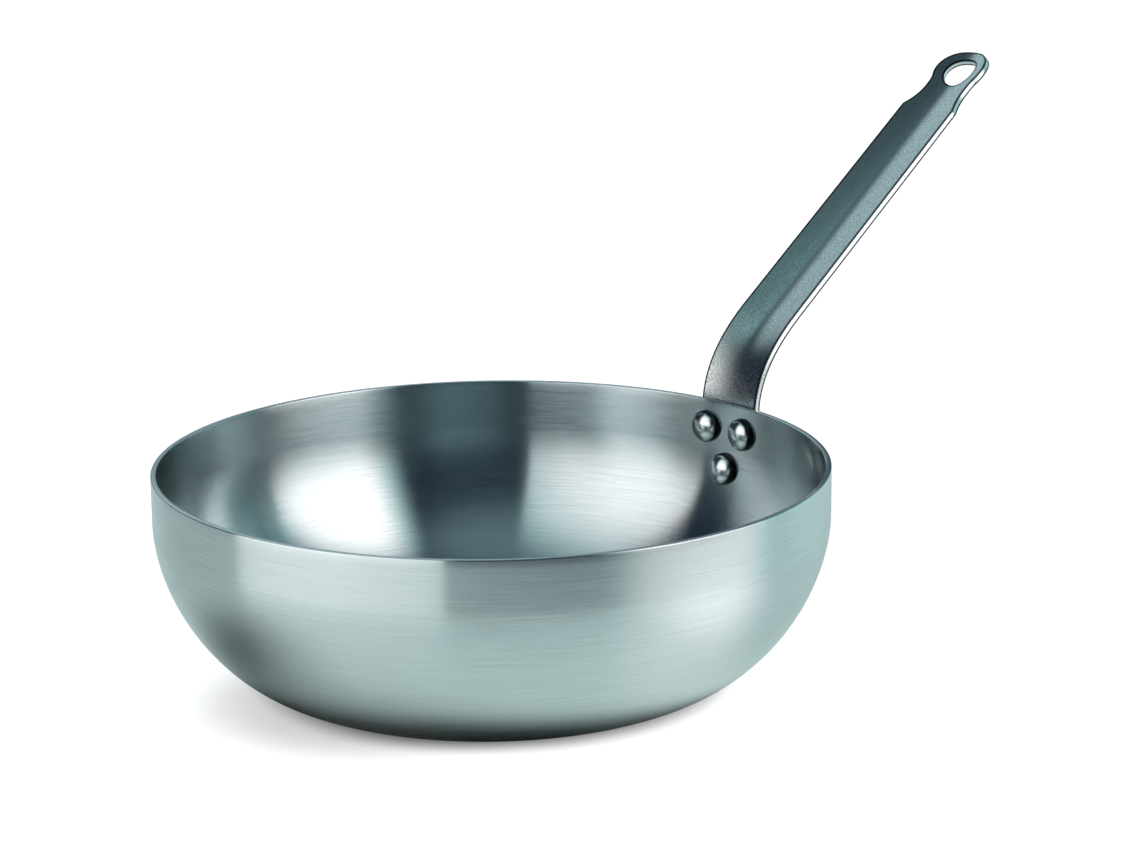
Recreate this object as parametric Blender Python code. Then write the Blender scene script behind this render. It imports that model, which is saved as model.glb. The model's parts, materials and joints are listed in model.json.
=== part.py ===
import math

import bmesh
import bpy
from mathutils import Matrix, Vector

# A deep frying pan: one pressed steel shell, a bent strip handle and three
# rivets that hold them together. Metres, Z up. The origin is the centre of
# the flat base on the pan's axis, and the handle points along +X.

# Pan shell
rim_radius = 0.1400
pan_height = 0.0908
upright_band = 0.0208    # straight part of the side under the rim
base_radius = 0.0825
side_power = 1.77        # roundness of the side: 2 is an ellipse, less is fuller
pan_wall = 0.0025
rim_edge = 0.0005        # rounding along the rim

# Handle strip
strip_thickness = 0.0030
strip_edge = 0.0005      # rounding along the strip's edges
rim_width = 0.0316       # strip width where it passes the rim
shaft_width = 0.0295     # strip width at its outer end
shaft_rise = math.radians(36.9)
bend_below_rim = 0.0036  # the strip leaves the wall this far below the rim
bend_length = 0.0506
shaft_length = 0.1274    # straight, from the bend to the shoulder
trough_depth = 0.0034    # hollow pressed along the top of the shaft
trough_rounding = 0.0050
trough_run = 0.0500      # length over which the hollow deepens

# Neck and hanging eye
neck_length = 0.0135
shoulder_slope = -0.5    # how steeply the strip starts to narrow
neck_width = 0.0224
eye_setback = 0.0038     # metal between the neck and the hole
hole_length = 0.0165
hole_width = 0.0152
eye_margin = 0.0053      # metal round the hole

# Rivets: two side by side under the rim and one below them
rivet_clear = 0.0031     # from the start of the bend to a rivet's tail
head_clear = 0.0073      # between the two upper heads
lower_pitch = 0.0180     # from the upper pair down to the lower rivet
head_radius = 0.0071
head_height = 0.0046
shank_radius = 0.0030
tail_radius = 0.0055
tail_height = 0.0024
flange_margin = 0.0035   # metal of the strip outside a rivet's tail

# Clearances
seat_gap = 0.0003        # between surfaces that rest on each other
bore_gap = 0.0003        # round a rivet's shank

# Angles where one stretch of the strip's outline hands over to the next
end_turn = math.radians(20)    # the flange's round end, measured up from straight across
eye_join = math.radians(112)   # the eye's outline, measured from its tip

# Fineness of the round shapes
pan_segments = 96
side_steps = 13
edge_steps = 2
rivet_segments = 24
dome_steps = 5
strip_columns = 14
column_crowding = 0.4    # 0 spreads the columns evenly, more draws them to the edges
end_steps = 3
flange_steps = 7
flare_steps = 4
bend_steps = 12
shaft_steps = 3
neck_steps = 5
eye_steps = 12
eye_rings = 3
line_step = 0.0005       # between the points of the strip's middle line
merge_distance = 0.000001
smooth_angle = math.radians(35)
corner_angle = math.radians(60)

# What follows from the sizes above
side_height = pan_height - upright_band
bend_height = pan_height - bend_below_rim
upper_drop = bend_below_rim + rivet_clear + tail_radius
lower_drop = upper_drop + lower_pitch
rivet_spacing = 2 * head_radius + head_clear
end_radius = tail_radius + flange_margin

# Finishes: base colour, metallic and roughness
finishes = {
    "brushed_steel": ((0.60, 0.62, 0.62), 1.0, 0.32),
    "satin_strip": ((0.34, 0.36, 0.36), 0.8, 0.45),
    "polished_rivet": ((0.72, 0.73, 0.73), 1.0, 0.12),
}


def clear_scene():
    for thing in list(bpy.data.objects):
        bpy.data.objects.remove(thing, do_unlink=True)


def make_material(name):
    colour, metallic, roughness = finishes[name]
    material = bpy.data.materials.new(name)
    material.use_nodes = True
    shader = material.node_tree.nodes["Principled BSDF"]
    shader.inputs["Base Color"].default_value = (*colour, 1.0)
    shader.inputs["Metallic"].default_value = metallic
    shader.inputs["Roughness"].default_value = roughness
    return material


def make_object(name, bm, material=None):
    bmesh.ops.recalc_face_normals(bm, faces=bm.faces)
    mesh = bpy.data.meshes.new(name)
    bm.to_mesh(mesh)
    bm.free()
    mesh.shade_smooth()
    mesh.set_sharp_from_angle(angle=smooth_angle)
    if material:
        mesh.materials.append(material)
    thing = bpy.data.objects.new(name, mesh)
    bpy.context.collection.objects.link(thing)
    return thing


def turned_body(profile, segments):
    # Spins an open profile of (radius, height) points, which starts and ends
    # on the axis, into a closed body
    bm = bmesh.new()
    points = [bm.verts.new((radius, 0.0, height)) for radius, height in profile]
    edges = [bm.edges.new(pair) for pair in zip(points, points[1:])]
    bmesh.ops.spin(bm, geom=points + edges, axis=(0, 0, 1), cent=(0, 0, 0),
                   angle=math.tau, steps=segments)
    bmesh.ops.remove_doubles(bm, verts=bm.verts, dist=merge_distance)
    return bm


def quarter(centre, radius, start, steps):
    # Points of a quarter circle that turns anticlockwise from the start angle
    points = []
    for step in range(steps + 1):
        angle = start + math.pi / 2 * step / steps
        points.append((centre[0] + radius * math.cos(angle), centre[1] + radius * math.sin(angle)))
    return points


def wall_at(height):
    # Outer radius of the shell at a height, and how fast it grows there
    if height >= side_height:
        return rim_radius, 0.0
    run = rim_radius - base_radius
    below = (side_height - height) / side_height
    across = (1 - below ** side_power) ** (1 / side_power)
    slope = run / side_height * (below / across) ** (side_power - 1)
    return base_radius + run * across, slope


def side_curve(inset):
    # The side from just above the base to where it turns upright, moved
    # inwards by the inset at right angles to the wall
    points = []
    for step in range(1, side_steps + 1):
        turn = math.pi / 2 * step / side_steps
        height = side_height * (1 - max(math.cos(turn), 0.0) ** (2 / side_power))
        radius, slope = wall_at(height)
        length = math.hypot(1, slope)
        points.append((radius - inset / length, height + inset * slope / length))
    return points


def pan_body():
    outside = [(0.0, 0.0), (base_radius, 0.0)] + side_curve(0.0)
    outer_lip = quarter((rim_radius - rim_edge, pan_height - rim_edge), rim_edge, 0.0, edge_steps)
    inner_lip = quarter((rim_radius - pan_wall + rim_edge, pan_height - rim_edge), rim_edge,
                        math.pi / 2, edge_steps)
    inside = side_curve(pan_wall)[::-1] + [(base_radius, pan_wall), (0.0, pan_wall)]
    return turned_body(outside + outer_lip + inner_lip + inside, pan_segments)


def dome(radius, height, direction):
    # Half an ellipse from its edge to its top on the axis
    points = []
    for step in range(dome_steps + 1):
        angle = math.pi / 2 * step / dome_steps
        points.append((radius * max(math.cos(angle), 0.0), direction * height * math.sin(angle)))
    points[-1] = (0.0, direction * height)
    return points


def wall_bow(height, reach):
    # How far the inside of the shell stands off a flat disc of this radius
    # laid on it, with the flats between its segments counted in
    inner_radius = rim_radius - pan_wall
    level = reach ** 2 / (2 * inner_radius)
    ends = wall_at(height - reach)[0] + wall_at(height + reach)[0]
    upright = wall_at(height)[0] - ends / 2
    flats = inner_radius * (1 - math.cos(math.pi / pan_segments))
    return max(level, upright) + flats


def rivet_body(drop):
    # Along the rivet's axis 0 is the shell's outer face, and the head is inside the pan
    bow = wall_bow(pan_height - drop, head_radius)
    head_seat = -(pan_wall + bow + seat_gap)
    tail_seat = seat_gap + strip_thickness + seat_gap
    head = [(radius, head_seat + height) for radius, height in dome(head_radius, head_height, -1)]
    tail = [(radius, tail_seat + height) for radius, height in dome(tail_radius, tail_height, 1)]
    shank = [(shank_radius, head_seat), (shank_radius, tail_seat)]
    return turned_body(head[::-1] + shank + tail, rivet_segments)


def rivet_place(turn, drop):
    # Matrix of a rivet: its axis stands square to the shell's outer face
    height = pan_height - drop
    radius, slope = wall_at(height)
    outward = Vector((1, 0, -slope)).normalized()
    tilt = Vector((0, 0, 1)).rotation_difference(outward).to_matrix().to_4x4()
    return Matrix.Rotation(turn, 4, "Z") @ Matrix.Translation((radius, 0, height)) @ tilt


def rivet_pattern():
    # Each rivet's turn round the pan and its drop below the rim
    side_turn = math.asin(rivet_spacing / 2 / (rim_radius - pan_wall))
    return {
        "rivet_left": (side_turn, upper_drop),
        "rivet_right": (-side_turn, upper_drop),
        "rivet_lower": (0.0, lower_drop),
    }


def rivet_cutter(name, place):
    reach = pan_wall + strip_thickness + 2 * seat_gap
    bm = bmesh.new()
    bmesh.ops.create_cone(bm, cap_ends=True, segments=rivet_segments,
                          radius1=shank_radius + bore_gap, radius2=shank_radius + bore_gap,
                          depth=2 * reach)
    cutter = make_object(name + "_cutter", bm)
    cutter.matrix_world = place
    cutter.hide_render = True
    cutter.display_type = "WIRE"
    return cutter


def flange_line():
    # The strip's middle line down the outside of the shell, to a little
    # below its end: rows of (distance down, radius, height, angle)
    height = bend_height
    foot = pan_height - lower_drop - 2 * end_radius
    line = []
    while height > foot:
        radius, slope = wall_at(height)
        lean = math.atan(slope)
        line.append((len(line) * line_step, radius + seat_gap * math.cos(lean),
                     height - seat_gap * math.sin(lean), math.pi / 2 - lean))
        height -= line_step * math.cos(lean)
    return line


def bend_angle(share):
    # The turn is quick at first and dies away, so the bend runs smoothly
    # into the straight shaft
    return shaft_rise + (math.pi / 2 - shaft_rise) * (1 - share) ** 2


def bend_line():
    # The strip's middle line along the bend, in rows like the flange's
    count = round(bend_length / line_step)
    step = bend_length / count
    radius = rim_radius + seat_gap
    height = bend_height
    line = [(0.0, radius, height, bend_angle(0.0))]
    for index in range(count):
        middle = bend_angle((index + 0.5) / count)
        radius += step * math.cos(middle)
        height += step * math.sin(middle)
        line.append(((index + 1) * step, radius, height, bend_angle((index + 1) / count)))
    return line


def read_line(line, distance):
    # Reads a line of (distance, radius, height, angle) rows between two rows
    spacing = line[1][0] - line[0][0]
    index = min(int(distance / spacing), len(line) - 2)
    share = (distance - line[index][0]) / spacing
    return [a + (b - a) * share for a, b in zip(line[index][1:], line[index + 1][1:])]


flange_rows = flange_line()
bend_rows = bend_line()


def middle_line(along):
    # Radius, height and angle of the strip's upper face at its middle, where
    # along is the distance from the start of the bend, less than 0 below it
    if along < 0:
        return read_line(flange_rows, -along)
    radius, height, angle = read_line(bend_rows, min(along, bend_length))
    if along > bend_length:
        radius += (along - bend_length) * math.cos(shaft_rise)
        height += (along - bend_length) * math.sin(shaft_rise)
    return radius, height, angle


def ease(value):
    value = min(max(value, 0.0), 1.0)
    return value * value * (3 - 2 * value)


def strip_section(along, across, radius):
    # How far the upper face rises above its middle, and its slope: round
    # like the shell on the flange, a soft V along the shaft
    flat = math.sqrt(radius ** 2 - across ** 2)
    round_rise = radius - flat
    round_slope = across / flat
    edge = math.hypot(shaft_width / 2, trough_rounding) - trough_rounding
    reach = math.hypot(across, trough_rounding)
    trough_rise = trough_depth * (reach - trough_rounding) / edge
    trough_slope = trough_depth / edge * across / reach
    share = ease(along / trough_run)
    return (round_rise + (trough_rise - round_rise) * share,
            round_slope + (trough_slope - round_slope) * share)


def bent_point(along, across, depth):
    # Where a point of the flat blank lies once the strip is pressed and bent
    radius, height, angle = middle_line(along)
    rise, slope = strip_section(along, across, radius)
    up = Vector((-math.sin(angle), 0, math.cos(angle)))
    side = Vector((0, 1, 0))
    face = (up - side * slope).normalized()
    return Vector((radius, 0, height)) + side * across + up * rise - face * depth


def hermite(start, end, at):
    # A smooth curve between two (position, value, slope) ends
    (x0, y0, m0), (x1, y1, m1) = start, end
    span = x1 - x0
    s = (at - x0) / span
    return (y0 * (2 * s ** 3 - 3 * s ** 2 + 1) + m0 * span * (s ** 3 - 2 * s ** 2 + s)
            + y1 * (3 * s ** 2 - 2 * s ** 3) + m1 * span * (s ** 3 - s ** 2))


def rivet_along(drop):
    # Where a rivet lies along the strip, less than 0 below the bend
    passed = [row for row in flange_rows if row[2] > pan_height - drop]
    return -passed[-1][0]


# The outline of the blank as (distance along, half width, slope) stations
upper_along = rivet_along(upper_drop)
lower_along = rivet_along(lower_drop)
end_half = end_radius * math.cos(end_turn)
shoulder_along = bend_length + shaft_length
neck_along = shoulder_along + neck_length
shaft_taper = (shaft_width - rim_width) / 2 / (shoulder_along - bend_below_rim)
eye_half_length = hole_length / 2 + eye_margin
eye_half_width = hole_width / 2 + eye_margin
eye_middle = neck_along + eye_setback + hole_length / 2

flange_end = (lower_along - end_radius * math.sin(end_turn), end_half, math.tan(end_turn))
flange_wide = (upper_along, rivet_spacing / 2 + end_radius, 0.0)
shaft_start = (bend_below_rim, rim_width / 2, shaft_taper)
shaft_end = (shoulder_along, shaft_width / 2, shaft_taper)
shoulder = (shoulder_along, shaft_width / 2, shoulder_slope)
neck = (neck_along, neck_width / 2, 0.0)
eye_start = (eye_middle + eye_half_length * math.cos(eye_join), eye_half_width * math.sin(eye_join),
             -eye_half_width / eye_half_length / math.tan(eye_join))


def half_width(along):
    if along < flange_wide[0]:
        return hermite(flange_end, flange_wide, along)
    if along < shaft_start[0]:
        return hermite(flange_wide, shaft_start, along)
    if along < shaft_end[0]:
        return hermite(shaft_start, shaft_end, along)
    return hermite(shoulder, neck, along)


def spread(start, end, steps):
    return [start + (end - start) * step / steps for step in range(steps + 1)]


def column_shares():
    # Places across the strip from -1 to 1, a little closer at its edges
    shares = []
    for column in range(strip_columns + 1):
        even = 2 * column / strip_columns - 1
        crowded = -math.cos(math.pi * column / strip_columns)
        shares.append(even + (crowded - even) * column_crowding)
    return shares


def strip_rows():
    # Rows of (along, across) points from the flange's round end to the neck
    shares = column_shares()
    rows = []
    for step in range(end_steps):
        row = []
        for share in shares:
            across = share * end_half
            depth = math.sqrt(end_radius ** 2 - across ** 2) - end_radius * math.sin(end_turn)
            row.append((flange_end[0] - depth * (1 - step / end_steps), across))
        rows.append(row)
    stations = (spread(flange_end[0], flange_wide[0], flange_steps)[:-1]
                + spread(flange_wide[0], shaft_start[0], flare_steps)[:-1]
                + spread(shaft_start[0], bend_length, bend_steps)[:-1]
                + spread(bend_length, shoulder_along, shaft_steps)[:-1]
                + spread(shoulder_along, neck_along, neck_steps))
    for along in stations:
        rows.append([(along, share * half_width(along)) for share in shares])
    return rows


def eye_outline():
    # One side of the eye from the neck to the tip, without the neck's point
    points = []
    for along in spread(neck_along, eye_start[0], end_steps)[1:]:
        points.append((along, hermite(neck, eye_start, along)))
    for turn in spread(eye_join, 0.0, eye_steps)[1:]:
        points.append((eye_middle + eye_half_length * math.cos(turn),
                       eye_half_width * math.sin(turn)))
    return points


def flat_blank():
    # The strip as it is cut from sheet: x along it, y across, z through it
    rows = strip_rows()
    side = eye_outline()
    around = rows[-1] + side + [(along, -across) for along, across in side[-2::-1]]
    bm = bmesh.new()
    grid = [[bm.verts.new((along, across, 0)) for along, across in row] for row in rows]
    for low, high in zip(grid, grid[1:]):
        for column in range(strip_columns):
            corners = [low[column], low[column + 1], high[column + 1], high[column]]
            bm.faces.new(corners)
    outside = [bm.verts.new((along, across, 0)) for along, across in around[strip_columns + 1:]]
    rings = [grid[-1] + outside]
    for ring in range(1, eye_rings + 1):
        share = ring / eye_rings
        verts = []
        for along, across in around:
            turn = math.atan2(across / hole_width, (along - eye_middle) / hole_length)
            hole = (eye_middle + hole_length / 2 * math.cos(turn), hole_width / 2 * math.sin(turn))
            verts.append(bm.verts.new((along + (hole[0] - along) * share,
                                       across + (hole[1] - across) * share, 0)))
        rings.append(verts)
    for outer, inner in zip(rings, rings[1:]):
        for index in range(len(outer)):
            after = (index + 1) % len(outer)
            bm.faces.new([outer[index], outer[after], inner[after], inner[index]])
    bmesh.ops.remove_doubles(bm, verts=bm.verts, dist=merge_distance)
    return bm


def handle_body():
    bm = flat_blank()
    solid = bmesh.ops.extrude_face_region(bm, geom=bm.faces[:])
    lowered = [item for item in solid["geom"] if isinstance(item, bmesh.types.BMVert)]
    bmesh.ops.translate(bm, verts=lowered, vec=(0, 0, -strip_thickness))
    bmesh.ops.recalc_face_normals(bm, faces=bm.faces)
    corners = [edge for edge in bm.edges
               if edge.calc_face_angle(0.0) > corner_angle
               and abs(edge.verts[0].co.z - edge.verts[1].co.z) < strip_edge]
    bmesh.ops.bevel(bm, geom=corners, offset=strip_edge, segments=edge_steps, profile=0.5,
                    affect="EDGES", clamp_overlap=True)
    for vert in bm.verts:
        vert.co = bent_point(vert.co.x, vert.co.y, -vert.co.z)
    return bm


def drill(thing, cutters):
    for cutter in cutters:
        cut = thing.modifiers.new(cutter.name, "BOOLEAN")
        cut.operation = "DIFFERENCE"
        cut.solver = "EXACT"
        cut.object = cutter


def build():
    clear_scene()
    brushed, satin, polished = [make_material(name) for name in finishes]
    pan = make_object("pan_body", pan_body(), brushed)
    handle = make_object("handle", handle_body(), satin)
    cutters = []
    for name, (turn, drop) in rivet_pattern().items():
        place = rivet_place(turn, drop)
        rivet = make_object(name, rivet_body(drop), polished)
        rivet.matrix_world = place
        cutters.append(rivet_cutter(name, place))
    drill(pan, cutters)
    drill(handle, cutters)


build()
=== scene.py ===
import json
import math

import bmesh
import bpy
from mathutils import Matrix, Vector
from mathutils.kdtree import KDTree

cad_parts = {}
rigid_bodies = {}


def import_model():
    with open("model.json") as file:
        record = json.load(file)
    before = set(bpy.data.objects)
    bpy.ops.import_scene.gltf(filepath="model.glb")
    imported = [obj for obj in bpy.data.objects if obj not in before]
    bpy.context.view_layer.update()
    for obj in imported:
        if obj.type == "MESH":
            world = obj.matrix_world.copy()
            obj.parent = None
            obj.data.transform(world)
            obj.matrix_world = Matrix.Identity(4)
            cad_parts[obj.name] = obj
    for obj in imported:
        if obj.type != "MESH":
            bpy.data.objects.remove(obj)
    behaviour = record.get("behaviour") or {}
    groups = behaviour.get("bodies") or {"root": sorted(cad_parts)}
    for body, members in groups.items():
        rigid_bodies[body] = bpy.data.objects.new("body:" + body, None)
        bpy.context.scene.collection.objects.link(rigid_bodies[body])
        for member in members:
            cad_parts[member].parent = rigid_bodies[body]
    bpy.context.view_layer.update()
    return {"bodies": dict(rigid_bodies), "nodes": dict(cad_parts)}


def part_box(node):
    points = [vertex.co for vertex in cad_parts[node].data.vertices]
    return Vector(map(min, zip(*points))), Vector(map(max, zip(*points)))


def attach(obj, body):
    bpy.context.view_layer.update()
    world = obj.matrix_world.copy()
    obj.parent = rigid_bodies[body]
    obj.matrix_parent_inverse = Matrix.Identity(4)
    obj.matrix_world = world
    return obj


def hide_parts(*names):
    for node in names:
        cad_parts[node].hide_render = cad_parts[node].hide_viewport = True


# A deep steel frying pan: brushed shell, satin strip handle, polished rivets.
# Metres, Z up, the handle along +X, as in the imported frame.
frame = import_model()
bodyName = list(frame["bodies"])[0]
print("frame loaded:", ", ".join(sorted(frame["nodes"])))


# Small helpers

mergeDistance = 0.000001  # points closer than this become one


def finishMesh(name, bm, material, smoothAngle=35.0):
    bmesh.ops.recalc_face_normals(bm, faces=bm.faces)
    mesh = bpy.data.meshes.new(name)
    bm.to_mesh(mesh)
    bm.free()
    mesh.shade_smooth()
    mesh.set_sharp_from_angle(angle=math.radians(smoothAngle))
    if material:
        mesh.materials.append(material)
    thing = bpy.data.objects.new(name, mesh)
    bpy.context.scene.collection.objects.link(thing)
    return thing


def turnProfile(profile, segments):
    # spins (radius, height) points that start and end on the axis
    bm = bmesh.new()
    points = [bm.verts.new((radius, 0.0, height)) for radius, height in profile]
    edges = [bm.edges.new(pair) for pair in zip(points, points[1:])]
    bmesh.ops.spin(bm, geom=points + edges, axis=(0, 0, 1), cent=(0, 0, 0),
                   angle=math.tau, steps=segments)
    bmesh.ops.remove_doubles(bm, verts=bm.verts, dist=mergeDistance)
    return bm


def spread(start, end, steps):
    return [start + (end - start) * step / steps for step in range(steps + 1)]


def quarter(centre, radius, start, steps):
    # a quarter circle that turns anticlockwise from the start angle
    turns = spread(start, start + math.pi / 2, steps)
    return [(centre[0] + radius * math.cos(turn), centre[1] + radius * math.sin(turn))
            for turn in turns]


def towards(azimuth, rise):
    # unit vector at an azimuth round the pan's axis and a rise above the table
    return Vector((math.cos(azimuth) * math.cos(rise), math.sin(azimuth) * math.cos(rise),
                   math.sin(rise)))


def ease(value):
    value = min(max(value, 0.0), 1.0)
    return value * value * (3 - 2 * value)


def hermite(start, end, at):
    # smooth curve between two (position, value, slope) ends
    (x0, y0, m0), (x1, y1, m1) = start, end
    span = x1 - x0
    s = (at - x0) / span
    return (y0 * (2 * s ** 3 - 3 * s ** 2 + 1) + m0 * span * (s ** 3 - 2 * s ** 2 + s)
            + y1 * (3 * s ** 2 - 2 * s ** 3) + m1 * span * (s ** 3 - s ** 2))


def cutAndBake(thing, cutters):
    # drills every cutter out of the thing and keeps the result as its mesh
    for cutter in cutters:
        cut = thing.modifiers.new(cutter.name, "BOOLEAN")
        cut.operation = "DIFFERENCE"
        cut.solver = "EXACT"
        cut.object = cutter
    depsgraph = bpy.context.evaluated_depsgraph_get()
    cutMesh = bpy.data.meshes.new_from_object(thing.evaluated_get(depsgraph))
    thing.modifiers.clear()
    oldMesh = thing.data
    thing.data = cutMesh
    bpy.data.meshes.remove(oldMesh)
    cutMesh.name = thing.name


# Node tree helpers

def addNode(tree, kind, **settings):
    node = tree.nodes.new(kind)
    for key, value in settings.items():
        setattr(node, key, value)
    return node


def link(tree, source, target):
    tree.links.new(source, target)


def newGroup(name, inputs, outputs):
    # a shader node group with float inputs (name, default) and typed outputs
    group = bpy.data.node_groups.new(name, "ShaderNodeTree")
    for socketName, default in inputs:
        socket = group.interface.new_socket(socketName, in_out="INPUT", socket_type="NodeSocketFloat")
        socket.default_value = default
    for socketName, kind in outputs:
        group.interface.new_socket(socketName, in_out="OUTPUT", socket_type=kind)
    start = group.nodes.new("NodeGroupInput")
    end = group.nodes.new("NodeGroupOutput")
    return group, start, end


def feed(tree, value, socket):
    # a number or a colour is written into the socket, anything else is linked to it
    if isinstance(value, (int, float, tuple)):
        socket.default_value = value
    else:
        link(tree, value, socket)


def mathNode(tree, operation, *values):
    node = addNode(tree, "ShaderNodeMath", operation=operation)
    for socket, value in zip(node.inputs, values):
        feed(tree, value, socket)
    return node.outputs[0]


def rangeNode(tree, value, low, high, newLow, newHigh, way="LINEAR"):
    node = addNode(tree, "ShaderNodeMapRange", interpolation_type=way)
    link(tree, value, node.inputs["Value"])
    for key, number in (("From Min", low), ("From Max", high), ("To Min", newLow), ("To Max", newHigh)):
        node.inputs[key].default_value = number
    return node.outputs[0]


def mixNode(tree, kind, factor, first, second):
    node = addNode(tree, "ShaderNodeMix", data_type=kind)
    for key, value in (("Factor", factor), ("A", first), ("B", second)):
        feed(tree, value, node.inputs[key])
    return node.outputs["Result"]


def mixColours(tree, factor, first, second):
    return mixNode(tree, "RGBA", factor, first, second)


def notedPlace(tree, name):
    # a measure that the mesh carries at each of its points
    return addNode(tree, "ShaderNodeAttribute", attribute_name=name).outputs["Fac"]


# Effects that several finishes share

def makeBrushing():
    # streaks that run round the Z axis: Across is how many there are per metre
    # of the profile, Around how often one starts and ends on the way round
    group, start, end = newGroup(
        "roundBrushing",
        [("Around", 6.0), ("Across", 2600.0), ("Seed", 0.0)],
        [("Streaks", "NodeSocketFloat")])
    place = addNode(group, "ShaderNodeNewGeometry")
    split = addNode(group, "ShaderNodeSeparateXYZ")
    link(group, place.outputs["Position"], split.inputs[0])
    squares = mathNode(group, "ADD", mathNode(group, "POWER", split.outputs[0], 2.0),
                       mathNode(group, "POWER", split.outputs[1], 2.0))
    radius = mathNode(group, "SQRT", mathNode(group, "MAXIMUM", squares, 1e-8))
    around = start.outputs["Around"]
    cosine = mathNode(group, "MULTIPLY", mathNode(group, "DIVIDE", split.outputs[0], radius), around)
    sine = mathNode(group, "MULTIPLY", mathNode(group, "DIVIDE", split.outputs[1], radius), around)
    profile = mathNode(group, "ADD", split.outputs[2], radius)
    across = mathNode(group, "ADD", mathNode(group, "MULTIPLY", profile, start.outputs["Across"]),
                      start.outputs["Seed"])
    join = addNode(group, "ShaderNodeCombineXYZ")
    link(group, cosine, join.inputs[0])
    link(group, sine, join.inputs[1])
    link(group, across, join.inputs[2])
    noise = addNode(group, "ShaderNodeTexNoise")
    noise.inputs["Scale"].default_value = 1.0
    noise.inputs["Detail"].default_value = 2.0
    link(group, join.outputs[0], noise.inputs["Vector"])
    link(group, noise.outputs[0], end.inputs["Streaks"])
    return group


def makeGrain():
    # fine speckle, the same in every direction
    group, start, end = newGroup(
        "blastedGrain",
        [("Scale", 3000.0), ("Detail", 2.0)],
        [("Grain", "NodeSocketFloat")])
    place = addNode(group, "ShaderNodeNewGeometry")
    noise = addNode(group, "ShaderNodeTexNoise")
    link(group, place.outputs["Position"], noise.inputs["Vector"])
    link(group, start.outputs["Scale"], noise.inputs["Scale"])
    link(group, start.outputs["Detail"], noise.inputs["Detail"])
    link(group, noise.outputs[0], end.inputs["Grain"])
    return group


brushing = makeBrushing()
grain = makeGrain()


def useGroup(tree, group, **values):
    node = tree.nodes.new("ShaderNodeGroup")
    node.node_tree = group
    for key, value in values.items():
        node.inputs[key].default_value = value
    return node.outputs[0]


def newMaterial(name):
    material = bpy.data.materials.new(name)
    material.use_nodes = True
    tree = material.node_tree
    return material, tree, tree.nodes["Principled BSDF"]


# Finishes

brushedFinish = {
    "light": (0.572, 0.655, 0.661, 1.0),
    "dark": (0.508, 0.585, 0.591, 1.0),
    "line": (0.35, 0.41, 0.43, 1.0),       # single deeper strokes
    "lineStrength": 0.7,
    "lineRange": (0.64, 0.74),             # where in its noise a stroke starts and is full
    "rough": 0.235,                        # smooth and rough grooves lie side by side
    "smooth": 0.175,
    "grooveRange": (0.42, 0.58),
    "streakRange": (0.38, 0.62),
    "fineShare": 0.5,
    "fine": {"Around": 6.0, "Across": 7000.0, "Seed": 0.0},
    "coarse": {"Around": 3.0, "Across": 3600.0, "Seed": 31.0},
    "strokes": {"Around": 2.5, "Across": 3400.0, "Seed": 77.0},
    "anisotropy": 1.0,
    "quarterTurn": 0.25,                   # sets the stretched reflections upright
    "bump": 0.2,
    "bumpDepth": 0.00002,
}


def addBump(tree, shader, height, finish):
    bump = addNode(tree, "ShaderNodeBump")
    bump.inputs["Strength"].default_value = finish["bump"]
    bump.inputs["Distance"].default_value = finish["bumpDepth"]
    link(tree, height, bump.inputs["Height"])
    link(tree, bump.outputs[0], shader.inputs["Normal"])


def makeBrushedSteel():
    material, tree, shader = newMaterial("brushedShell")
    fine, coarse, strokes = [useGroup(tree, brushing, **brushedFinish[key])
                             for key in ("fine", "coarse", "strokes")]
    share = brushedFinish["fineShare"]
    streaks = mathNode(tree, "ADD", mathNode(tree, "MULTIPLY", fine, share),
                       mathNode(tree, "MULTIPLY", coarse, 1.0 - share))
    steel = mixColours(tree, rangeNode(tree, streaks, *brushedFinish["streakRange"], 0.0, 1.0),
                       brushedFinish["dark"], brushedFinish["light"])
    deep = rangeNode(tree, strokes, *brushedFinish["lineRange"], 0.0, brushedFinish["lineStrength"])
    link(tree, mixColours(tree, deep, steel, brushedFinish["line"]), shader.inputs["Base Color"])
    link(tree, rangeNode(tree, fine, *brushedFinish["grooveRange"], brushedFinish["rough"],
                         brushedFinish["smooth"]), shader.inputs["Roughness"])
    addBump(tree, shader, fine, brushedFinish)
    tangent = addNode(tree, "ShaderNodeTangent", direction_type="RADIAL", axis="Z")
    link(tree, tangent.outputs[0], shader.inputs["Tangent"])
    shader.inputs["Metallic"].default_value = 1.0
    shader.inputs["Anisotropic"].default_value = brushedFinish["anisotropy"]
    shader.inputs["Anisotropic Rotation"].default_value = brushedFinish["quarterTurn"]
    return material


satinFinish = {
    "light": (0.58, 0.66, 0.65, 1.0),
    "dark": (0.35, 0.41, 0.41, 1.0),
    "cut": (0.64, 0.71, 0.72, 1.0),        # the strip's sides, smooth from the cut
    "paintedEdgeShade": (0.022, 0.032, 0.037, 1.0),  # painted shade along its edges, for the dark surroundings that their roundings mirror
    "edgeShadeReach": (0.0006, 0.00095),      # from the edge to where that starts to fade and ends
    "grain": {"Scale": 1500.0, "Detail": 3.0},
    "grainRange": (0.36, 0.64),
    "rough": 0.33,
    "smooth": 0.22,
    "bump": 0.3,
    "bumpDepth": 0.00003,
}


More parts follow.
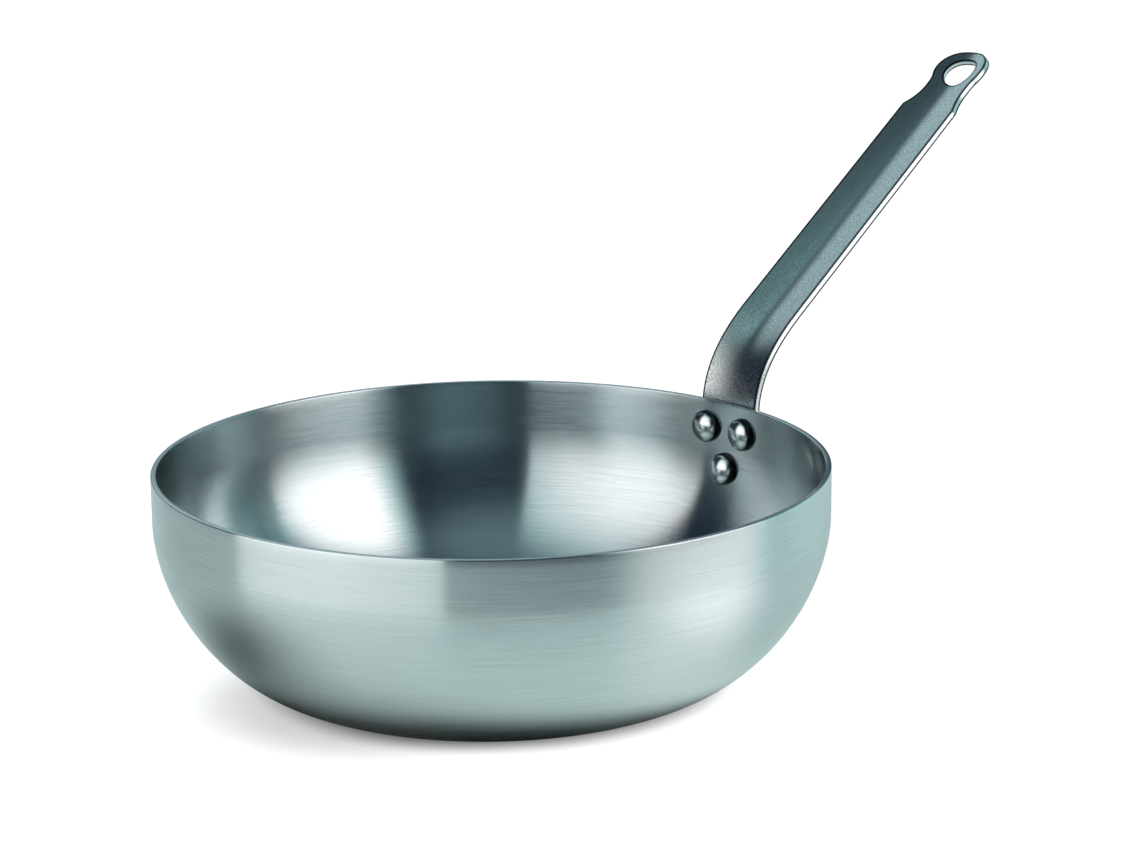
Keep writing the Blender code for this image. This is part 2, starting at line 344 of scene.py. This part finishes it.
def makeSatinSteel():
    material, tree, shader = newMaterial("satinStrip")
    speckle = useGroup(tree, grain, **satinFinish["grain"])
    mask = rangeNode(tree, speckle, *satinFinish["grainRange"], 0.0, 1.0)
    face = mixColours(tree, mask, satinFinish["dark"], satinFinish["light"])
    inset, depth = notedPlace(tree, "inset"), notedPlace(tree, "depth")
    onSide = mathNode(tree, "MINIMUM", depth, mathNode(tree, "SUBTRACT", strip["thickness"], depth))
    start, end = satinFinish["edgeShadeReach"]
    side = rangeNode(tree, onSide, 0.0, start, 0.0, 1.0)
    # painted shade: the strip's edges darkened where their rounding mirrors dark surroundings
    paintedEdgeShade = rangeNode(tree, mathNode(tree, "MAXIMUM", inset, onSide), start, end, 1.0, 0.0)
    plain = mixColours(tree, side, face, satinFinish["cut"])
    link(tree, mixColours(tree, paintedEdgeShade, plain, satinFinish["paintedEdgeShade"]), shader.inputs["Base Color"])
    link(tree, rangeNode(tree, speckle, *satinFinish["grainRange"], satinFinish["rough"],
                         satinFinish["smooth"]), shader.inputs["Roughness"])
    addBump(tree, shader, speckle, satinFinish)
    shader.inputs["Metallic"].default_value = 1.0
    return material


rivetFinish = {
    "light": (0.66, 0.725, 0.73, 1.0),
    "dark": (0.57, 0.64, 0.65, 1.0),
    "foot": (0.020, 0.028, 0.034, 1.0),    # painted shade round the foot of each head, for the shadowed gap under it and the dark its flank mirrors
    "footShadeReach": (0.0059, 0.0067),         # from the rivet's axis to where that starts and is full
    "grain": {"Scale": 900.0, "Detail": 3.0},
    "grainRange": (0.3, 0.7),
    "rough": 0.25,
    "smooth": 0.19,
}


def makePolishedSteel():
    material, tree, shader = newMaterial("polishedRivet")
    speckle = useGroup(tree, grain, **rivetFinish["grain"])
    mask = rangeNode(tree, speckle, *rivetFinish["grainRange"], 0.0, 1.0)
    steel = mixColours(tree, mask, rivetFinish["dark"], rivetFinish["light"])
    # painted shade: a dark ring round the foot of each head
    foot = rangeNode(tree, notedPlace(tree, "reach"), *rivetFinish["footShadeReach"], 0.0, 1.0, "SMOOTHSTEP")
    link(tree, mixColours(tree, foot, steel, rivetFinish["foot"]), shader.inputs["Base Color"])
    link(tree, rangeNode(tree, speckle, *rivetFinish["grainRange"], rivetFinish["rough"],
                         rivetFinish["smooth"]), shader.inputs["Roughness"])
    shader.inputs["Metallic"].default_value = 1.0
    return material


brushedSteel = makeBrushedSteel()
polishedSteel = makePolishedSteel()
print("finishes made")


# Pan shell

shellLow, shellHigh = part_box("pan_body")
rimRadius = shellHigh.x
panHeight = shellHigh.z

shell = {
    "baseRadius": 0.0825,
    "uprightBand": 0.0208,     # straight part of the side under the rim
    "sidePower": 1.77,         # 2 is an ellipse, less is fuller
    "wall": 0.0025,
    "rimEdge": 0.0005,         # rounding along the rim
    "segments": 384,
    "sideSteps": 64,
    "uprightSteps": 6,
    "floorRings": 12,
    "edgeSteps": 5,
}

sideHeight = panHeight - shell["uprightBand"]


def wallAt(height):
    # outer radius of the shell at a height, and how fast it grows there
    if height >= sideHeight:
        return rimRadius, 0.0
    power = shell["sidePower"]
    run = rimRadius - shell["baseRadius"]
    below = (sideHeight - height) / sideHeight
    across = (1 - below ** power) ** (1 / power)
    return (shell["baseRadius"] + run * across,
            run / sideHeight * (below / across) ** (power - 1))


def sideCurve(inset):
    # the side from just above the base to where it turns upright
    points = []
    for turn in spread(0.0, math.pi / 2, shell["sideSteps"])[1:]:
        height = sideHeight * (1 - max(math.cos(turn), 0.0) ** (2 / shell["sidePower"]))
        radius, slope = wallAt(height)
        length = math.hypot(1, slope)
        points.append((radius - inset / length, height + inset * slope / length))
    return points


def makeShell():
    wall, edge, base = shell["wall"], shell["rimEdge"], shell["baseRadius"]
    disc = [(radius, 0.0) for radius in spread(0.0, base, shell["floorRings"])]
    outerLip = quarter((rimRadius - edge, panHeight - edge), edge, 0.0, shell["edgeSteps"])
    innerLip = quarter((rimRadius - wall + edge, panHeight - edge), edge, math.pi / 2,
                       shell["edgeSteps"])
    uprights = spread(sideHeight, panHeight - edge, shell["uprightSteps"])[1:-1]
    outside = disc + sideCurve(0.0) + [(rimRadius, height) for height in uprights]
    inside = [(rimRadius - wall, height) for height in uprights[::-1]]
    inside += sideCurve(wall)[::-1] + [(radius, wall) for radius, flat in disc[::-1]]
    return finishMesh("panShell", turnProfile(outside + outerLip + innerLip + inside,
                                              shell["segments"]), brushedSteel)


# Rivets: two side by side under the rim and one below them

rivets = {
    "headRadius": 0.0071,
    "headHeight": 0.0046,
    "shankRadius": 0.0030,
    "tailRadius": 0.0055,
    "tailHeight": 0.0024,
    "seatGap": 0.0003,
    "boreGap": 0.0003,
    "facets": 96,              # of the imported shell, which set how far the heads stand off
    "segments": 72,
    "domeSteps": 18,
}

strip = {
    "thickness": 0.0030,
    "edge": 0.0005,            # rounding along the strip's edges
    "rimWidth": 0.0316,        # where it passes the rim
    "shaftWidth": 0.0295,      # at its outer end
    "rise": 36.9,              # degrees
    "bendBelowRim": 0.0036,
    "bendLength": 0.0506,
    "shaftLength": 0.1274,
    "troughDepth": 0.0034,     # hollow pressed along the top of the shaft
    "troughRounding": 0.0050,
    "troughRun": 0.0500,       # length over which the hollow deepens
    "neckLength": 0.0135,
    "shoulderSlope": -0.5,
    "neckWidth": 0.0224,
    "eyeSetback": 0.0038,      # metal between the neck and the hole
    "holeLength": 0.0165,
    "holeWidth": 0.0152,
    "eyeMargin": 0.0053,       # metal round the hole
    "rivetClear": 0.0031,      # from the start of the bend to a rivet's tail
    "headClear": 0.0073,       # between the two upper heads
    "lowerPitch": 0.0180,      # from the upper pair down to the lower rivet
    "flangeMargin": 0.0035,    # metal outside a rivet's tail
    "endTurn": 20.0,           # degrees, where the flange's round end starts
    "eyeJoin": 112.0,          # degrees, where the eye's round outline starts
    "columns": 36,
    "columnCrowding": 0.4,
    "flangeSteps": 20,
    "bendSteps": 60,
    "shaftSteps": 60,
    "neckSteps": 14,
    "eyeSteps": 40,
    "eyeRings": 10,
    "endSteps": 8,
    "edgeSteps": 4,
    "cornerAngle": 60.0,       # degrees, above which an edge of the blank is rounded
    "lineStep": 0.0005,        # between the points of the strip's middle line
}

bendHeight = panHeight - strip["bendBelowRim"]
upperDrop = strip["bendBelowRim"] + strip["rivetClear"] + rivets["tailRadius"]
lowerDrop = upperDrop + strip["lowerPitch"]
rivetSpacing = 2 * rivets["headRadius"] + strip["headClear"]
endRadius = rivets["tailRadius"] + strip["flangeMargin"]


def dome(radius, height, direction):
    turns = spread(0.0, math.pi / 2, rivets["domeSteps"])
    return [(radius * max(math.cos(turn), 0.0), direction * height * math.sin(turn))
            for turn in turns]


def wallBow(height, reach):
    # how far the inside of the shell stands off a flat disc laid on it
    innerRadius = rimRadius - shell["wall"]
    level = reach ** 2 / (2 * innerRadius)
    upright = wallAt(height)[0] - (wallAt(height - reach)[0] + wallAt(height + reach)[0]) / 2
    return max(level, upright) + innerRadius * (1 - math.cos(math.pi / rivets["facets"]))


def rivetProfile(drop):
    gap = rivets["seatGap"]
    headSeat = -(shell["wall"] + wallBow(panHeight - drop, rivets["headRadius"]) + gap)
    tailSeat = gap + strip["thickness"] + gap
    head = [(radius, headSeat + height)
            for radius, height in dome(rivets["headRadius"], rivets["headHeight"], -1)]
    tail = [(radius, tailSeat + height)
            for radius, height in dome(rivets["tailRadius"], rivets["tailHeight"], 1)]
    shank = [(rivets["shankRadius"], headSeat), (rivets["shankRadius"], tailSeat)]
    return head[::-1] + shank + tail


def rivetPlace(turn, drop):
    height = panHeight - drop
    radius, slope = wallAt(height)
    outward = Vector((1, 0, -slope)).normalized()
    tilt = Vector((0, 0, 1)).rotation_difference(outward).to_matrix().to_4x4()
    return Matrix.Rotation(turn, 4, "Z") @ Matrix.Translation((radius, 0, height)) @ tilt


def makeRivets():
    sideTurn = math.asin(rivetSpacing / 2 / (rimRadius - shell["wall"]))
    pattern = {
        "rivet_left": (sideTurn, upperDrop),
        "rivet_right": (-sideTurn, upperDrop),
        "rivet_lower": (0.0, lowerDrop),
    }
    made, cutters = {}, []
    for node, (turn, drop) in pattern.items():
        place = rivetPlace(turn, drop)
        bm = turnProfile(rivetProfile(drop), rivets["segments"])
        reach = bm.verts.layers.float.new("reach")
        for vert in bm.verts:
            vert[reach] = math.hypot(vert.co.x, vert.co.y)
        bmesh.ops.transform(bm, matrix=place, verts=bm.verts)
        name = "polishedR" + node[1:].replace("_", "")
        made[node] = finishMesh(name, bm, polishedSteel)
        boreRadius = rivets["shankRadius"] + rivets["boreGap"]
        bm = bmesh.new()
        bmesh.ops.create_cone(bm, cap_ends=True, segments=rivets["segments"], radius1=boreRadius,
                              radius2=boreRadius, depth=4 * strip["thickness"], matrix=place)
        cutters.append(finishMesh(node + "Bore", bm, None))
    return made, cutters


# Handle strip: a flat blank, pressed and bent

def flangeLine():
    # down the outside of the shell: (distance, radius, height, angle)
    height = bendHeight
    foot = panHeight - lowerDrop - 2 * endRadius
    step = strip["lineStep"]
    line = []
    while height > foot:
        radius, slope = wallAt(height)
        lean = math.atan(slope)
        line.append((len(line) * step, radius + rivets["seatGap"] * math.cos(lean),
                     height - rivets["seatGap"] * math.sin(lean), math.pi / 2 - lean))
        height -= step * math.cos(lean)
    return line


def bendAngle(share):
    rise = math.radians(strip["rise"])
    return rise + (math.pi / 2 - rise) * (1 - share) ** 2


def bendLine():
    count = round(strip["bendLength"] / strip["lineStep"])
    step = strip["bendLength"] / count
    radius = rimRadius + rivets["seatGap"]
    height = bendHeight
    line = [(0.0, radius, height, bendAngle(0.0))]
    for index in range(count):
        middle = bendAngle((index + 0.5) / count)
        radius += step * math.cos(middle)
        height += step * math.sin(middle)
        line.append(((index + 1) * step, radius, height, bendAngle((index + 1) / count)))
    return line


def readLine(line, distance):
    spacing = line[1][0] - line[0][0]
    index = min(int(distance / spacing), len(line) - 2)
    share = (distance - line[index][0]) / spacing
    return [a + (b - a) * share for a, b in zip(line[index][1:], line[index + 1][1:])]


flangeRows = flangeLine()
bendRows = bendLine()


def middleLine(along):
    # radius, height and angle of the strip's upper face at its middle
    if along < 0:
        return readLine(flangeRows, -along)
    radius, height, angle = readLine(bendRows, min(along, strip["bendLength"]))
    beyond = max(along - strip["bendLength"], 0.0)
    rise = math.radians(strip["rise"])
    return radius + beyond * math.cos(rise), height + beyond * math.sin(rise), angle


def stripSection(along, across, radius):
    # rise of the upper face above its middle, and its slope
    flat = math.sqrt(radius ** 2 - across ** 2)
    rounding = strip["troughRounding"]
    edge = math.hypot(strip["shaftWidth"] / 2, rounding) - rounding
    reach = math.hypot(across, rounding)
    troughRise = strip["troughDepth"] * (reach - rounding) / edge
    troughSlope = strip["troughDepth"] / edge * across / reach
    share = ease(along / strip["troughRun"])
    return (radius - flat + (troughRise - radius + flat) * share,
            across / flat + (troughSlope - across / flat) * share)


def bentPoint(along, across, depth):
    radius, height, angle = middleLine(along)
    rise, slope = stripSection(along, across, radius)
    up = Vector((-math.sin(angle), 0, math.cos(angle)))
    side = Vector((0, 1, 0))
    face = (up - side * slope).normalized()
    return Vector((radius, 0, height)) + side * across + up * rise - face * depth


def rivetAlong(drop):
    passed = [row for row in flangeRows if row[2] > panHeight - drop]
    return -passed[-1][0]


upperAlong = rivetAlong(upperDrop)
lowerAlong = rivetAlong(lowerDrop)
endTurn = math.radians(strip["endTurn"])
endHalf = endRadius * math.cos(endTurn)
shoulderAlong = strip["bendLength"] + strip["shaftLength"]
neckAlong = shoulderAlong + strip["neckLength"]
shaftTaper = (strip["shaftWidth"] - strip["rimWidth"]) / 2 / (shoulderAlong - strip["bendBelowRim"])
eyeHalfLength = strip["holeLength"] / 2 + strip["eyeMargin"]
eyeHalfWidth = strip["holeWidth"] / 2 + strip["eyeMargin"]
eyeMiddle = neckAlong + strip["eyeSetback"] + strip["holeLength"] / 2
eyeJoin = math.radians(strip["eyeJoin"])

flangeEnd = (lowerAlong - endRadius * math.sin(endTurn), endHalf, math.tan(endTurn))
flangeWide = (upperAlong, rivetSpacing / 2 + endRadius, 0.0)
shaftStart = (strip["bendBelowRim"], strip["rimWidth"] / 2, shaftTaper)
shaftEnd = (shoulderAlong, strip["shaftWidth"] / 2, shaftTaper)
shoulder = (shoulderAlong, strip["shaftWidth"] / 2, strip["shoulderSlope"])
neck = (neckAlong, strip["neckWidth"] / 2, 0.0)
eyeStart = (eyeMiddle + eyeHalfLength * math.cos(eyeJoin), eyeHalfWidth * math.sin(eyeJoin),
            -eyeHalfWidth / eyeHalfLength / math.tan(eyeJoin))


def halfWidth(along):
    for start, end in ((flangeEnd, flangeWide), (flangeWide, shaftStart), (shaftStart, shaftEnd)):
        if along < end[0]:
            return hermite(start, end, along)
    return hermite(shoulder, neck, along)


def columnShares():
    shares = []
    for column in range(strip["columns"] + 1):
        even = 2 * column / strip["columns"] - 1
        crowded = -math.cos(math.pi * column / strip["columns"])
        shares.append(even + (crowded - even) * strip["columnCrowding"])
    return shares


def stripRows():
    shares = columnShares()
    rows = []
    for step in range(strip["endSteps"]):
        row = []
        for share in shares:
            across = share * endHalf
            depth = math.sqrt(endRadius ** 2 - across ** 2) - endRadius * math.sin(endTurn)
            row.append((flangeEnd[0] - depth * (1 - step / strip["endSteps"]), across))
        rows.append(row)
    stations = (spread(flangeEnd[0], flangeWide[0], strip["flangeSteps"])[:-1]
                + spread(flangeWide[0], shaftStart[0], strip["flangeSteps"])[:-1]
                + spread(shaftStart[0], strip["bendLength"], strip["bendSteps"])[:-1]
                + spread(strip["bendLength"], shoulderAlong, strip["shaftSteps"])[:-1]
                + spread(shoulderAlong, neckAlong, strip["neckSteps"]))
    for along in stations:
        rows.append([(along, share * halfWidth(along)) for share in shares])
    return rows


def eyeOutline():
    points = [(along, hermite(neck, eyeStart, along))
              for along in spread(neckAlong, eyeStart[0], strip["endSteps"])[1:]]
    for turn in spread(eyeJoin, 0.0, strip["eyeSteps"])[1:]:
        points.append((eyeMiddle + eyeHalfLength * math.cos(turn), eyeHalfWidth * math.sin(turn)))
    return points


def flatBlank():
    rows = stripRows()
    side = eyeOutline()
    around = rows[-1] + side + [(along, -across) for along, across in side[-2::-1]]
    columns = strip["columns"]
    bm = bmesh.new()
    grid = [[bm.verts.new((along, across, 0)) for along, across in row] for row in rows]
    for low, high in zip(grid, grid[1:]):
        for column in range(columns):
            bm.faces.new([low[column], low[column + 1], high[column + 1], high[column]])
    rings = [grid[-1] + [bm.verts.new((along, across, 0)) for along, across in around[columns + 1:]]]
    for share in spread(0.0, 1.0, strip["eyeRings"])[1:]:
        ring = []
        for along, across in around:
            turn = math.atan2(across / strip["holeWidth"], (along - eyeMiddle) / strip["holeLength"])
            hole = (eyeMiddle + strip["holeLength"] / 2 * math.cos(turn),
                    strip["holeWidth"] / 2 * math.sin(turn))
            ring.append(bm.verts.new((along + (hole[0] - along) * share,
                                      across + (hole[1] - across) * share, 0)))
        rings.append(ring)
    for outer, inner in zip(rings, rings[1:]):
        for index in range(len(outer)):
            after = (index + 1) % len(outer)
            bm.faces.new([outer[index], outer[after], inner[after], inner[index]])
    bmesh.ops.remove_doubles(bm, verts=bm.verts, dist=mergeDistance)
    return bm


def markPlaces(bm, outline):
    # gives the finish each point's distance from the outline and depth below the upper face
    nearest = KDTree(len(outline))
    for index, place in enumerate(outline):
        nearest.insert(place, index)
    nearest.balance()
    inset = bm.verts.layers.float.new("inset")
    depth = bm.verts.layers.float.new("depth")
    for vert in bm.verts:
        vert[inset] = nearest.find((vert.co.x, vert.co.y, 0.0))[2]
        vert[depth] = -vert.co.z


def makeHandle():
    bm = flatBlank()
    outline = [vert.co.copy() for vert in bm.verts if vert.is_boundary]
    solid = bmesh.ops.extrude_face_region(bm, geom=bm.faces[:])
    lowered = [item for item in solid["geom"] if isinstance(item, bmesh.types.BMVert)]
    bmesh.ops.translate(bm, verts=lowered, vec=(0, 0, -strip["thickness"]))
    bmesh.ops.recalc_face_normals(bm, faces=bm.faces)
    corners = [edge for edge in bm.edges
               if edge.calc_face_angle(0.0) > math.radians(strip["cornerAngle"])
               and abs(edge.verts[0].co.z - edge.verts[1].co.z) < strip["edge"]]
    bmesh.ops.bevel(bm, geom=corners, offset=strip["edge"], segments=strip["edgeSteps"], profile=0.5,
                    affect="EDGES", clamp_overlap=True)
    markPlaces(bm, outline)
    for vert in bm.verts:
        vert.co = bentPoint(vert.co.x, vert.co.y, -vert.co.z)
    return finishMesh("stripHandle", bm, makeSatinSteel())


panShell = makeShell()
stripHandle = makeHandle()
rivetPieces, bores = makeRivets()
cutAndBake(panShell, bores)
cutAndBake(stripHandle, bores)
for bore in bores:
    bpy.data.objects.remove(bore, do_unlink=True)

pieces = {"pan_body": panShell, "handle": stripHandle, **rivetPieces}
for node, piece in pieces.items():
    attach(piece, bodyName)
    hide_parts(node)
print("pieces made:", ", ".join(piece.name for piece in pieces.values()))


# Camera, at the photograph's viewing angle

photoCamera = {
    "distance": 1.5,           # from the middle of the base
    "azimuth": -131.73,        # degrees round the pan
    "elevation": 18.61,
    "yaw": 1.27,               # degrees turned away from the middle of the base
    "pitch": -3.88,
    "roll": 1.00,
    "lens": 112.76,            # mm
    "sensorWidth": 36.0,       # mm
    "nearest": 0.05,
}


def makeCamera():
    azimuth = math.radians(photoCamera["azimuth"])
    back = towards(azimuth, math.radians(photoCamera["elevation"]))
    right = towards(azimuth + math.pi / 2, 0.0)
    aim = Matrix((right, back.cross(right), back))
    for key, axis in (("yaw", "Y"), ("pitch", "X"), ("roll", "Z")):
        aim = Matrix.Rotation(math.radians(photoCamera[key]), 3, axis) @ aim
    data = bpy.data.cameras.new("photoCamera")
    data.lens = photoCamera["lens"]
    data.sensor_width = photoCamera["sensorWidth"]
    data.clip_start = photoCamera["nearest"]
    camera = bpy.data.objects.new("photoCamera", data)
    camera.matrix_world = (Matrix.Translation(back * photoCamera["distance"])
                           @ aim.transposed().to_4x4())
    bpy.context.scene.collection.objects.link(camera)
    bpy.context.scene.camera = camera


makeCamera()


# Floor: a pale table whose front edge lies just below the picture

table = {
    "size": 6.0,
    "front": 0.42,             # from the pan's axis to the table's front edge
    "frontTurn": 28.0,         # degrees that this edge is turned to the right
    "drop": 0.0002,            # under the base, so that the two faces don't fight
    "lit": 0.80,               # how pale it is in the lamps' light
    "litPictured": 0.25,       # the same for the camera, which also sees it glow white
    "steelGlow": 0.35,         # how much of that white the steel shows
    "steelTint": (0.87, 1.0, 0.97, 1.0),
    "untinted": (1.0, 1.8),    # brightness of a painted pool of light where that tint starts to fade and is gone
    "roughness": 0.30,
    # Painted shadows and pools of light on the table: turn and distance of the middle, where it is
    # darkest, where it ends, and how much of the light is left at its middle, above 1 for a painted
    # pool of light. The camera sees the first ones and the steel the others.
    "pictured": ((0.0, 0.0, 0.084, 0.106, 0.20), (-60.0, 0.060, 0.045, 0.090, 0.60)),
    "mirrored": ((-15.0, 0.012, 0.092, 0.113, 0.05), (-68.0, 0.150, 0.0, 0.100, 0.25),
                 (-35.0, 0.050, 0.060, 0.098, 0.50), (48.0, 0.150, 0.010, 0.080, 1.40),
                 (60.0, 0.250, 0.020, 0.110, 2.50)),
}


def viewTurn(degrees):
    # azimuth of a direction that is so far to the right of the camera
    return math.radians(photoCamera["azimuth"] + degrees)


# painted shadows on the table, and painted pools of light where a middle's level is above 1
def paintedTableShade(tree, shades):
    level = 1.0
    spot = addNode(tree, "ShaderNodeNewGeometry")
    for turn, shift, darkTo, paleFrom, left in shades:
        reach = addNode(tree, "ShaderNodeVectorMath", operation="DISTANCE")
        link(tree, spot.outputs["Position"], reach.inputs[0])
        reach.inputs[1].default_value = towards(viewTurn(turn), 0.0) * shift
        shade = rangeNode(tree, reach.outputs["Value"], darkTo, paleFrom, left, 1.0, "SMOOTHSTEP")
        level = mathNode(tree, "MULTIPLY", shade, level)
    return level


def seenBySteel(tree, path):
    # 1 for the rays that a metal or glass surface sends out
    return mathNode(tree, "ADD", path.outputs["Is Glossy Ray"], path.outputs["Is Transmission Ray"])


def makeTable():
    half, front = table["size"] / 2, table["front"]
    bm = bmesh.new()
    bmesh.ops.create_grid(bm, x_segments=1, y_segments=1, size=half)
    turn = Matrix.Rotation(viewTurn(table["frontTurn"]), 4, "Z")
    place = turn @ Matrix.Translation((front - half, 0.0, -table["drop"]))
    bmesh.ops.transform(bm, matrix=place, verts=bm.verts)
    material, tree, shader = newMaterial("paleTable")
    path = addNode(tree, "ShaderNodeLightPath")
    toCamera = path.outputs["Is Camera Ray"]
    shade = mixNode(tree, "FLOAT", toCamera, paintedTableShade(tree, table["mirrored"]),
                    paintedTableShade(tree, table["pictured"]))
    lit = mixNode(tree, "FLOAT", toCamera, table["lit"], table["litPictured"])
    pale = mathNode(tree, "MULTIPLY", lit, mathNode(tree, "MINIMUM", shade, 1.0))
    untinted = mathNode(tree, "MAXIMUM", toCamera,
                        rangeNode(tree, shade, *table["untinted"], 0.0, 1.0))
    tint = mixColours(tree, untinted, table["steelTint"], (1, 1, 1, 1))
    colour = addNode(tree, "ShaderNodeVectorMath", operation="SCALE")
    link(tree, tint, colour.inputs[0])
    link(tree, pale, colour.inputs["Scale"])
    link(tree, colour.outputs[0], shader.inputs["Base Color"])
    toSteel = mathNode(tree, "MULTIPLY", seenBySteel(tree, path), table["steelGlow"])
    glow = mathNode(tree, "ADD", toCamera, toSteel)
    link(tree, mathNode(tree, "MULTIPLY", glow, shade), shader.inputs["Emission Strength"])
    link(tree, tint, shader.inputs["Emission Color"])
    shader.inputs["Roughness"].default_value = table["roughness"]
    floor = finishMesh("paleTable", bm, material)


room = {
    "dark": (0.0095, 0.018, 0.040, 1.0),
    # Pale parts of the room, as the steel sees them: colour, turn to the right of the camera
    # and rise of the middle, and the degrees from it where the part starts to fade and ends.
    # The first is the white backdrop behind the table, the second a dim ceiling.
    "parts": (((0.68, 0.86, 0.92, 1.0), 196.0, 35.0, 2.0, 32.0),
              ((0.20, 0.29, 0.31, 1.0), 0.0, 66.0, 4.0, 29.0)),
}


def makeWorld():
    # a dark room round the table, white to the camera, with pale parts to the steel
    world = bpy.data.worlds.new("darkRoom")
    bpy.context.scene.world = world
    world.use_nodes = True
    tree = world.node_tree
    path = addNode(tree, "ShaderNodeLightPath")
    look = addNode(tree, "ShaderNodeTexCoord")
    toSteel = seenBySteel(tree, path)
    shown = room["dark"]
    for colour, turn, rise, full, none in room["parts"]:
        near = addNode(tree, "ShaderNodeVectorMath", operation="DOT_PRODUCT")
        link(tree, look.outputs["Generated"], near.inputs[0])
        near.inputs[1].default_value = towards(viewTurn(turn), math.radians(rise))
        level = rangeNode(tree, near.outputs["Value"], math.cos(math.radians(none)),
                          math.cos(math.radians(full)), 0.0, 1.0, "SMOOTHSTEP")
        shown = mixColours(tree, mathNode(tree, "MULTIPLY", level, toSteel), shown, colour)
    link(tree, mixColours(tree, path.outputs["Is Camera Ray"], shown, (1, 1, 1, 1)),
         tree.nodes["Background"].inputs["Color"])


# Soft boxes stand round the table. Turn is in degrees to the right of the camera, seen
# from the pan, and lean how far a box looks down. Glow is the brightness at the hot spot,
# which is a place in the box's face, across and up. Reach is how far the light spreads
# from it there, and core the share of that reach that is evenly bright.

softBoxes = {
    "leftBox": {
        "turn": -50.8, "distance": 0.96, "middle": 1.35, "lean": 0.0, "width": 1.39,
        "height": 2.90, "colour": (1.0, 0.92, 0.91), "glow": 2.02, "hotSpot": (0.35, 0.04),
        "reach": (1.5, 1.1), "core": 0.0,
    },
    "rightBox": {
        "turn": 68.5, "distance": 1.05, "middle": 1.60, "lean": 0.0, "width": 1.66,
        "height": 3.10, "colour": (1.0, 0.91, 0.90), "glow": 2.52, "hotSpot": (0.5, 0.02),
        "reach": (0.46, 0.95), "core": 0.35,
    },
    "backGlow": {
        "turn": 123.0, "distance": 1.00, "middle": 0.45, "lean": 0.0, "width": 1.30,
        "height": 1.00, "colour": (0.63, 1.0, 1.0), "glow": 0.80, "hotSpot": (0.5, 0.2),
        "reach": (0.6, 1.3), "core": 0.0,
    },
    "topCard": {
        "turn": -120.0, "distance": 0.45, "middle": 1.20, "lean": 69.0, "width": 0.60,
        "height": 0.50, "colour": (0.65, 1.0, 1.0), "glow": 0.60, "hotSpot": (0.5, 0.5),
        "reach": (0.6, 0.6), "core": 0.3,
    },
}


boxCloth = {
    "dimTint": (0.66, 1.0, 1.0, 1.0),      # where little light reaches it
    "tintRange": (0.2, 0.8),               # brightness up to which it has that tint, and none
}


def makeSoftBox(name, box):
    data = bpy.data.lights.new(name, "AREA")
    data.shape = "RECTANGLE"
    data.size = box["width"]
    data.size_y = box["height"]
    data.energy = math.pi * box["width"] * box["height"] * box["glow"]
    data.color = box["colour"]
    data.use_nodes = True
    tree = data.node_tree
    face = addNode(tree, "ShaderNodeNewGeometry")
    split = addNode(tree, "ShaderNodeSeparateXYZ")
    link(tree, face.outputs["Parametric"], split.inputs[0])
    squares = 0.0
    for socket, centre, reach in zip(split.outputs, box["hotSpot"], box["reach"]):
        offset = mathNode(tree, "DIVIDE", mathNode(tree, "SUBTRACT", socket, centre), reach)
        squares = mathNode(tree, "ADD", mathNode(tree, "MULTIPLY", offset, offset), squares)
    level = rangeNode(tree, mathNode(tree, "SQRT", squares), box["core"], 1.0, 1.0, 0.0, "SMOOTHSTEP")
    link(tree, level, tree.nodes["Emission"].inputs["Strength"])
    bright = rangeNode(tree, level, *boxCloth["tintRange"], 0.0, 1.0)
    link(tree, mixColours(tree, bright, boxCloth["dimTint"], (1, 1, 1, 1)),
         tree.nodes["Emission"].inputs["Color"])
    lamp = bpy.data.objects.new(name, data)
    outward, lean = towards(viewTurn(box["turn"]), 0.0), math.radians(box["lean"])
    lamp.location = outward * box["distance"]
    lamp.location.z = box["middle"]
    lamp.rotation_mode = "QUATERNION"
    facing = outward * math.cos(lean) + Vector((0.0, 0.0, math.sin(lean)))
    lamp.rotation_quaternion = facing.to_track_quat("Z", "Y")
    lamp.visible_camera = False
    bpy.context.scene.collection.objects.link(lamp)


makeTable()
makeWorld()
for name, box in softBoxes.items():
    makeSoftBox(name, box)
bpy.context.scene.view_settings.view_transform = "Standard"
print("studio made")
